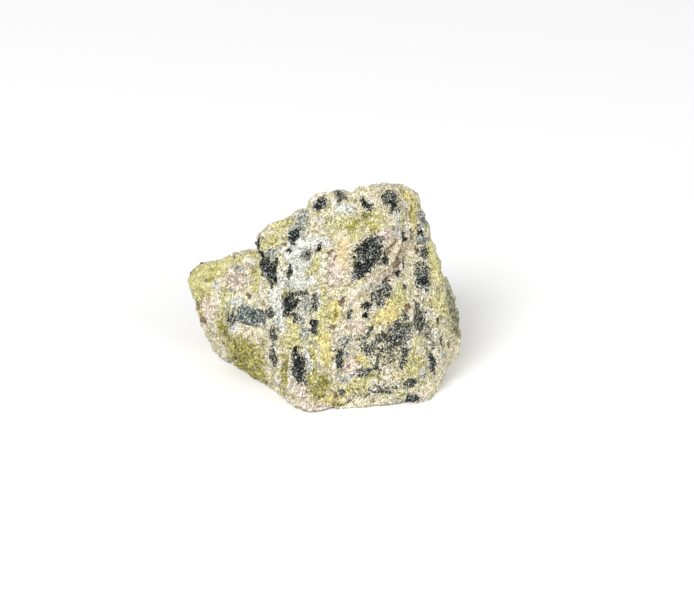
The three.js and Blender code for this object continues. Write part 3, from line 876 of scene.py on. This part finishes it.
def stone_grain(tree):
    place = add_node(tree, "ShaderNodeTexCoord").outputs["Object"]
    place = vector_node(tree, "SCALE", {0: place, "Scale": TO_MM})
    wobble = vector_node(tree, "SUBTRACT", {0: noise_colour(tree, WOBBLE, place), 1: MIDDLE_COLOUR})
    wobble = vector_node(tree, "SCALE", {0: wobble, "Scale": WOBBLE_REACH})
    bent = vector_node(tree, "ADD", {0: place, 1: wobble})
    along = vector_node(tree, "PROJECT", {0: bent, 1: LAYERING})
    along = vector_node(tree, "SCALE", {0: along, "Scale": GRAIN_LENGTHENS})
    drawn_out = vector_node(tree, "SUBTRACT", {0: bent, 1: along})
    cloud, crack, _ = swings(tree, CLOUDS, place)
    return Grain(
        cloud, crack, *swings(tree, COARSE, bent), *swings(tree, FINE, drawn_out), *swings(tree, DUST, place)
    )


def mark_strength(tree, mineral):
    return add_node(tree, "ShaderNodeAttribute", attribute_name=mineral).outputs["Fac"]


# The ground's tones, from dark to light, and where each lies between 0 and 1
GROUND_TONES = (
    (0.33, "ground_olive"),
    (0.42, "ground_lime"),
    (0.50, "ground_pale"),
    (0.56, "ground_rose"),
    (0.64, "ground_white"),
)
GROUND_MIDDLE = 0.5
GROUND_BY_CLOUD = 0.07  # how far each noise shifts the ground's tone
GROUND_BY_COARSE = 0.06
GROUND_BY_LIGHT = 0.07


def ground_colour(tree, stone, grain):
    """The stone between its marks."""
    tone = weighted(
        tree,
        (grain.cloud, GROUND_BY_CLOUD),
        (grain.coarse, GROUND_BY_COARSE),
        (grain.light, GROUND_BY_LIGHT),
    )
    ramp = add_node(tree, "ShaderNodeValToRGB", {0: math_node(tree, "ADD", tone, GROUND_MIDDLE)})
    stops = ramp.color_ramp.elements
    while len(stops) < len(GROUND_TONES):
        stops.new(GROUND_MIDDLE)
    for stop, (position, name) in zip(stops, GROUND_TONES):
        stop.position = position
        stop.color = (*getattr(stone, name), 1.0)
    return ramp.outputs[0]


class Layer(NamedTuple):
    """How a mineral covers what lies under it: how much the coarse and the fine grain break its edge, and how
    soft the edge is."""

    mineral: str
    by_coarse: float
    by_fine: float
    softness: float


# From the bottom up
LAYERS = (
    Layer("lime", 0.4, 0.3, 0.9),
    Layer("pink", 0.35, 0.3, 0.8),
    Layer("peach", 0.3, 0.2, 0.7),
    Layer("cream", 0.35, 0.25, 0.7),
    Layer("gold", 0.35, 0.3, 0.7),
    Layer("olive", 0.4, 0.45, 0.6),
    # Umber lies only on the right-hand side strip: its own skin with painted shade
    Layer("umber", 0.35, 0.4, 0.4),
    Layer("chalk", 0.4, 0.45, 0.6),
    Layer("brown", 0.4, 0.5, 0.3),
    Layer("grey", 0.45, 0.65, 0.3),
    Layer("teal", 0.2, 0.35, 0.25),
    Layer("cluster", 0.4, 0.6, 0.3),
    Layer("dark", 0.3, 0.5, 0.3),
)
# Strength at which the painted glints of the dark minerals begin, and at which they are at their lightest:
# sparkle highlights painted into the colour, among pale grains
GLINTS = {"dark": (0.5, 1.9), "cluster": (0.2, 1.6), "teal": (-0.2, 1.5)}
GLINT_SHARE = 0.7  # how much each of two noises adds to the glints
LIGHT_BY_FINE = 0.7  # how much the fine and the coarse noise add to the lightness within a mineral
LIGHT_BY_COARSE = 0.5
LIGHT_RANGE = (-1.1, 1.1)
STRENGTH_GAIN = 2.2  # how steeply a mark's strength rises from its edge to its heart
EDGE_AT = 0.05  # strength at which a mark's edge lies
FEWEST_DARK_GRAINS = -1.75  # strength of the loose dark grains away from the dapples
DAPPLE_EDGE = -1.1  # at the edge of a dapple
DAPPLE_GAIN = 1.15  # and what its heart adds to that


def mineral_colour(tree, stone, grain, ground):
    """The ground with the minerals laid over it, with painted glints in the dark minerals, and how far each
    mineral covers it.
    """
    light = weighted(tree, (grain.light, LIGHT_BY_FINE), (grain.coarse, LIGHT_BY_COARSE))
    lightness = smooth_range(tree, light, *LIGHT_RANGE)
    glints = weighted(tree, (grain.glint, GLINT_SHARE), (grain.salt, GLINT_SHARE))
    dapple = math_node(tree, "MULTIPLY", mark_strength(tree, "dapple"), DAPPLE_GAIN)
    dapple = math_node(tree, "ADD", dapple, DAPPLE_EDGE)
    loose_grains = math_node(tree, "MAXIMUM", dapple, FEWEST_DARK_GRAINS)
    colour = ground
    covers = {}
    for mineral, by_coarse, by_fine, softness in LAYERS:
        strength = math_node(tree, "MULTIPLY", mark_strength(tree, mineral), STRENGTH_GAIN)
        if mineral == "cluster":
            strength = math_node(tree, "MAXIMUM", strength, loose_grains)
        broken = weighted(tree, (strength, 1.0), (grain.clumps, by_coarse), (grain.fine, by_fine))
        covers[mineral] = smooth_range(tree, broken, EDGE_AT - softness, EDGE_AT + softness)
        # The dark minerals mix in painted glints, sparkle highlights painted into the colour among pale
        # grains; the others mix in their lighter grains
        share = smooth_range(tree, glints, *GLINTS[mineral]) if mineral in GLINTS else lightness
        tone = mix_colours(tree, share, getattr(stone, mineral), getattr(stone, f"{mineral}_glint"))
        colour = mix_colours(tree, covers[mineral], colour, tone)
    return colour, covers


def thin_lines(tree, swing, core, edge):
    """1 along the lines where a noise passes through 0, and 0 away from them."""
    return less(tree, smooth_range(tree, math_node(tree, "ABSOLUTE", swing), core, edge), 1.0)


SKIN_CALMS = 0.75  # share of its specks and shading that a smooth skin loses
WAX_SHEDS = 0.4  # share of the loose grains that don't stick to the waxy minerals
EYES_SHED = 0.7  # and to the eyes
VEIN_WIDTH = (0.06, 0.3)  # how far from the middle of a line its full strength goes, and where it ends
CRACK_WIDTH = (0.03, 0.16)
VEINED_CLOUDS = (-0.2, 1.0)  # the veins fade in over this range of the clouds
SPECK_RANGE = (0.3, 1.6)
SALT_RANGE = (0.5, 1.7)
SHADE_BY_CLUMPS = 0.12  # how far each noise lightens and darkens the colour
SHADE_BY_DUST = 0.22
SHADE_BY_LIGHT = 0.17


def waxy_cover(tree, covers):
    return math_node(tree, "MAXIMUM", covers["gold"], covers["umber"])


def weathered_colour(tree, stone, grain, covers, cracks, colour):
    """The minerals with veins, cracks, dark specks, white grains and an uneven lightness."""
    veined = smooth_range(tree, grain.cloud, *VEINED_CLOUDS)
    veins = math_node(tree, "MULTIPLY", thin_lines(tree, grain.lumps, *VEIN_WIDTH), veined)
    veins = math_node(tree, "MULTIPLY", veins, stone.vein_share)
    colour = mix_colours(tree, veins, colour, stone.chalk_glint)
    cracked = math_node(tree, "MULTIPLY", cracks, stone.crack_share)
    colour = mix_colours(tree, cracked, colour, stone.speck, "MULTIPLY")

    skin = smooth_range(tree, mark_strength(tree, "smooth"), SKIN_FROM, SKIN_TO)
    rough = less(tree, skin, SKIN_CALMS)
    waxy = math_node(tree, "MAXIMUM", waxy_cover(tree, covers), covers["cream"])
    waxy = math_node(tree, "MULTIPLY", waxy, WAX_SHEDS)
    eyes = math_node(tree, "MULTIPLY", covers["dark"], EYES_SHED)
    clean = math_node(tree, "MAXIMUM", waxy, eyes)
    crumbly = math_node(tree, "MULTIPLY", rough, less(tree, clean, 1.0))
    for swing, limits, amount, tone, blend in (
        (grain.speck, SPECK_RANGE, stone.speck_share, stone.speck, "MULTIPLY"),
        (grain.salt, SALT_RANGE, stone.salt_share, stone.ground_white, "MIX"),
    ):
        grains = math_node(tree, "MULTIPLY", smooth_range(tree, swing, *limits), amount)
        colour = mix_colours(tree, math_node(tree, "MULTIPLY", grains, crumbly), colour, tone, blend)

    shade = weighted(
        tree,
        (grain.clumps, SHADE_BY_CLUMPS),
        (grain.dust, SHADE_BY_DUST),
        (grain.light, SHADE_BY_LIGHT),
    )
    shade = math_node(tree, "ADD", math_node(tree, "MULTIPLY", shade, rough), 1.0)
    return add_node(tree, "ShaderNodeHueSaturation", {"Value": shade, "Color": colour}).outputs[0]


DRY_ROUGHNESS = 0.78
WAX_SMOOTHS = 0.22  # how much less rough the waxy minerals are
USUAL_SHINE = 0.5
EYES_DULL = 0.3  # how much less the dark minerals shine
REFRACTION = 1.55
# Shares of the finest relief that each noise raises, or lowers where it is below 0
RAISED_BY_LUMPS = 0.5
RAISED_BY_LIGHT = 0.3
RAISED_BY_DUST = 0.1
RAISED_BY_SPECKS = -0.15
RAISED_BY_CRACKS = -0.6


def stone_material(stone):
    """Mottled serpentine: a granular ground, minerals that break up into grains at their edges, and a fine
    relief."""
    material = bpy.data.materials.new("Serpentine")
    material.use_nodes = True
    tree = material.node_tree
    tree.nodes.clear()
    result = add_node(tree, "ShaderNodeOutputMaterial")
    grain = stone_grain(tree)
    colour, covers = mineral_colour(tree, stone, grain, ground_colour(tree, stone, grain))
    cracks = thin_lines(tree, grain.crack, *CRACK_WIDTH)
    colour = weathered_colour(tree, stone, grain, covers, cracks, colour)
    gloss = math_node(tree, "MULTIPLY", waxy_cover(tree, covers), WAX_SMOOTHS)
    black = math_node(tree, "MAXIMUM", covers["dark"], covers["cluster"])
    dulled = math_node(tree, "MULTIPLY", black, EYES_DULL)
    height = weighted(
        tree,
        (grain.lumps, RAISED_BY_LUMPS),
        (grain.light, RAISED_BY_LIGHT),
        (grain.dust, RAISED_BY_DUST),
        (grain.speck, RAISED_BY_SPECKS),
        (cracks, RAISED_BY_CRACKS),
    )
    bump = add_node(tree, "ShaderNodeBump", {"Height": height, "Distance": stone.bump_height})
    shader = add_node(
        tree,
        "ShaderNodeBsdfPrincipled",
        {
            "Base Color": colour,
            "Roughness": math_node(tree, "SUBTRACT", DRY_ROUGHNESS, gloss),
            "Specular IOR Level": math_node(tree, "SUBTRACT", USUAL_SHINE, dulled),
            "Normal": bump.outputs[0],
            "IOR": REFRACTION,
        },
    )
    tree.links.new(shader.outputs[0], result.inputs["Surface"])
    return material


# Operators

class SERPENTINE_OT_stone(bpy.types.Operator):
    """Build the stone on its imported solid"""

    bl_idname = "serpentine.stone"
    bl_label = "Build Stone"

    def execute(self, context):
        stone = context.scene.serpentine_stone
        view = FrontView(context.scene.serpentine_stage)
        if CAD_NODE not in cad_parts:
            raise RuntimeError("the packed model has no stone")
        material = stone_material(stone)
        piece = refined_copy(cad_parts[CAD_NODE], "raw_serpentine", stone.edge_parts)
        apply_tree(piece, smoothing_tree(material), {"Smooth Rounds": stone.smooth_rounds})
        surface = BVHTree.FromObject(piece, context.evaluated_depsgraph_get())
        patches = front_patches(surface, view)
        patches += hidden_patches(*surface_facts(piece.data), view, stone.scatter_seed)
        paint_marks(piece.data, patches, view)
        apply_tree(
            piece,
            roughening_tree(material),
            {
                "Lump Height": stone.lump_height,
                "Lump Size": stone.lump_size,
                "Grain Height": stone.grain_height,
                "Grain Size": stone.grain_size,
                "Facet Size": stone.facet_size,
                "Facet Tilt": stone.facet_tilt,
            },
        )
        piece.data.shade_smooth()
        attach(piece, "root")
        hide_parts(CAD_NODE)
        return {"FINISHED"}


def add_area_light(name, place, aim, size, power):
    light = bpy.data.lights.new(name, "AREA")
    light.shape = "DISK"
    light.size = size
    light.energy = power
    lamp = bpy.data.objects.new(name, light)
    lamp.location = place
    lamp.rotation_euler = (Vector(aim) - Vector(place)).to_track_quat("-Z", "Y").to_euler()
    bpy.context.scene.collection.objects.link(lamp)


# Places and sizes of the stage, in metres
KEY_PLACE = (-0.28, -0.3, 0.5)
KEY_SIZE = 0.35
FILL_PLACE = (0.4, -0.25, 0.3)
FILL_SIZE = 0.4
FLOOR_ROUGHNESS = 0.9
NEAREST_SEEN = 0.01
FARTHEST_SEEN = 20.0


class SERPENTINE_OT_stage(bpy.types.Operator):
    """Set up the pale floor, the soft light and the camera"""

    bl_idname = "serpentine.stage"
    bl_label = "Build Stage"

    def execute(self, context):
        stage = context.scene.serpentine_stage
        scene = context.scene
        bpy.ops.mesh.primitive_plane_add(size=stage.floor_size)
        floor = context.object
        if floor is None:
            raise RuntimeError("the floor could not be made")
        floor.name = "floor"
        paint = bpy.data.materials.new("Floor")
        paint.use_nodes = True
        shader = paint.node_tree.nodes["Principled BSDF"]
        shader.inputs["Base Color"].default_value = (*stage.floor_colour, 1.0)
        shader.inputs["Roughness"].default_value = FLOOR_ROUGHNESS
        floor.data.materials.append(paint)

        world = bpy.data.worlds.new("Soft Studio")
        world.use_nodes = True
        sky = world.node_tree.nodes["Background"]
        sky.inputs["Color"].default_value = (1.0, 1.0, 1.0, 1.0)
        sky.inputs["Strength"].default_value = stage.world_strength
        scene.world = world
        add_area_light("Key", KEY_PLACE, stage.aim, KEY_SIZE, stage.key_power)
        add_area_light("Fill", FILL_PLACE, stage.aim, FILL_SIZE, stage.fill_power)

        view = FrontView(stage)
        lens = bpy.data.cameras.new("Camera")
        lens.lens = stage.lens
        lens.sensor_width = SENSOR_WIDTH
        lens.clip_start = NEAREST_SEEN
        lens.clip_end = FARTHEST_SEEN
        camera = bpy.data.objects.new("Camera", lens)
        camera.location = view.place
        camera.rotation_mode = "QUATERNION"
        camera.rotation_quaternion = (-view.back).to_track_quat("-Z", "Y")
        scene.collection.objects.link(camera)
        scene.camera = camera
        scene.view_settings.view_transform = "Standard"
        return {"FINISHED"}


class SERPENTINE_PT_panel(bpy.types.Panel):
    """Sizes and colours of the stone and its stage"""

    bl_label = "Raw Serpentine"
    bl_space_type = "VIEW_3D"
    bl_region_type = "UI"
    bl_category = "Serpentine"

    def draw(self, context):
        for operator, settings in (
            (SERPENTINE_OT_stone, context.scene.serpentine_stone),
            (SERPENTINE_OT_stage, context.scene.serpentine_stage),
        ):
            box = self.layout.box()
            box.operator(operator.bl_idname)
            for name in settings.__annotations__:
                box.prop(settings, name)


CLASSES = (StoneSettings, StageSettings, SERPENTINE_OT_stone, SERPENTINE_OT_stage, SERPENTINE_PT_panel)


def register():
    for cls in CLASSES:
        bpy.utils.register_class(cls)
    bpy.types.Scene.serpentine_stone = PointerProperty(type=StoneSettings)
    bpy.types.Scene.serpentine_stage = PointerProperty(type=StageSettings)


def unregister():
    del bpy.types.Scene.serpentine_stage
    del bpy.types.Scene.serpentine_stone
    for cls in reversed(CLASSES):
        bpy.utils.unregister_class(cls)


def main():
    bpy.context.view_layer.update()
    register()
    bpy.ops.serpentine.stone()
    bpy.ops.serpentine.stage()


if __name__ == "__main__":
    main()
